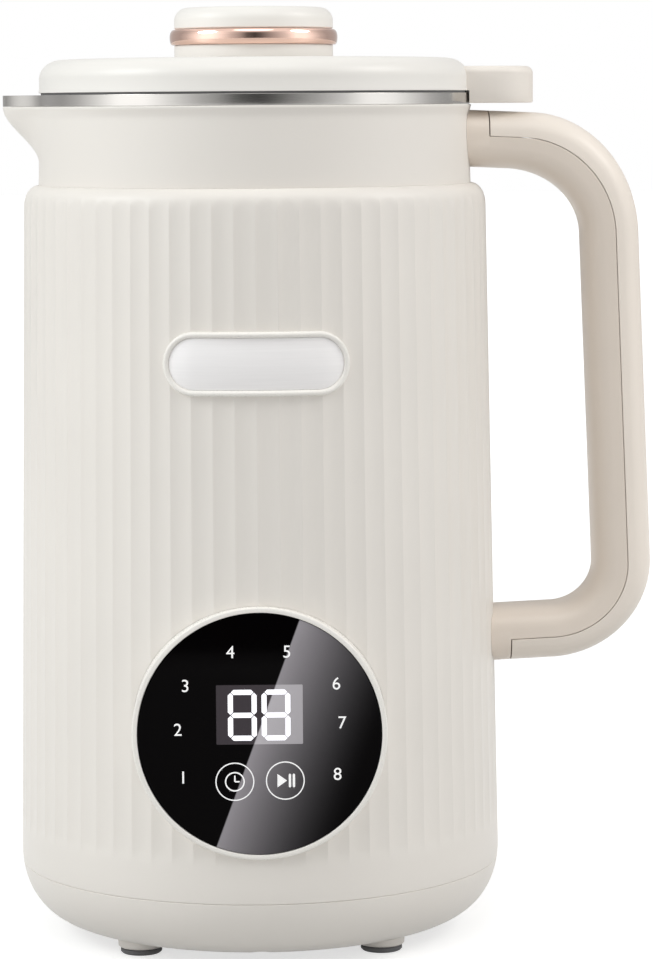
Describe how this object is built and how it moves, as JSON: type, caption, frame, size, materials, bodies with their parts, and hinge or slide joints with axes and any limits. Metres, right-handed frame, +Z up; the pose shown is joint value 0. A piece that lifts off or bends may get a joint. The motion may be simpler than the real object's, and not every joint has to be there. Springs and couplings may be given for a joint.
{
  "type": "soy milk maker",
  "caption": "Fluted upright jug with spout, side handle, round touch panel, heated steel pot, motor-driven blades and lift-off lid.",
  "frame": {"origin": "centre of the box round the whole object, at the level the feet stand on; the jug's own axis is 22.5 mm towards -X of it", "axes": "+Z up, +X from the jug's axis to the handle, -X to the spout, -Y out of the control panel"},
  "size_m": [0.1989, 0.1499, 0.285],
  "materials": {
    "cream_plastic": "satin cream moulding",
    "handle_plastic": "satin warm cream moulding",
    "plate_grey": "satin pale grey, printed",
    "lens_black": "polished black lens over the display",
    "stainless": "polished stainless steel",
    "rose_gold": "plated, polished",
    "rubber_dark": "matte",
    "silicone": "matte translucent grey",
    "copper": "enamelled copper wire and copper bars",
    "iron": "stacked laminations, raw",
    "aluminium": "as cast",
    "board_green": "solder mask",
    "display_white": "light guide of the digits",
    "black_plastic": "fine matte moulding",
    "carbon": "pressed carbon"
  },
  "bodies": {
    "housing": {"outer_sleeve": "cream_plastic", "collar": "cream_plastic", "base_bowl": "cream_plastic", "foot_front_left": "rubber_dark", "foot_front_right": "rubber_dark", "foot_rear_left": "rubber_dark", "foot_rear_right": "rubber_dark", "base_screw_1": "stainless", "base_screw_2": "stainless", "base_screw_3": "stainless", "pot": "stainless", "heat_spreader": "aluminium", "heater_tube": "stainless", "temperature_sensor": "stainless", "overflow_probe": "stainless", "shaft_seal": "silicone", "chassis_plate": "cream_plastic", "motor_screw_left": "stainless", "motor_screw_right": "stainless", "motor_top_bracket": "aluminium", "motor_bottom_bracket": "aluminium", "stator_core": "iron", "field_coil_front": "copper", "field_coil_rear": "copper", "upper_bearing": "stainless", "lower_bearing": "stainless", "brush_carrier": "black_plastic", "carbon_brush_left": "carbon", "carbon_brush_right": "carbon", "power_board": "board_green", "display_board": "board_green", "digit_display": "display_white", "touch_pad_left": "silicone", "touch_pad_right": "silicone", "panel_lens": "lens_black", "panel_bezel": "cream_plastic", "plate_frame": "cream_plastic", "name_plate": "plate_grey", "handle_inner_shell": "handle_plastic", "handle_outer_cover": "handle_plastic", "handle_screw_upper": "stainless", "handle_screw_lower": "stainless", "reed_switch": "black_plastic", "power_inlet": "black_plastic", "display_cable": "silicone"},
    "drive": {"drive_shaft": "stainless", "rotor_core": "iron", "commutator": "copper", "cooling_fan": "black_plastic", "blade_lower": "stainless", "blade_upper": "stainless", "blade_nut": "stainless"},
    "lid": {"lid_cover": "cream_plastic", "lid_liner": "stainless", "lid_gasket": "silicone", "knob_base": "cream_plastic", "knob_ring": "rose_gold", "knob_cap": "cream_plastic", "knob_screw": "stainless", "lid_magnet": "iron"}
  },
  "joints": [
    {"name": "lid_lift", "type": "slide", "parent": "housing", "child": "lid", "axis": [0, 0, 1], "range_m": [0, 0.08]},
    {"name": "drive_spin", "type": "hinge", "parent": "housing", "child": "drive", "pos_m": [-0.0225, 0, 0.1], "axis": [0, 0, 1], "continuous": true}
  ]
}
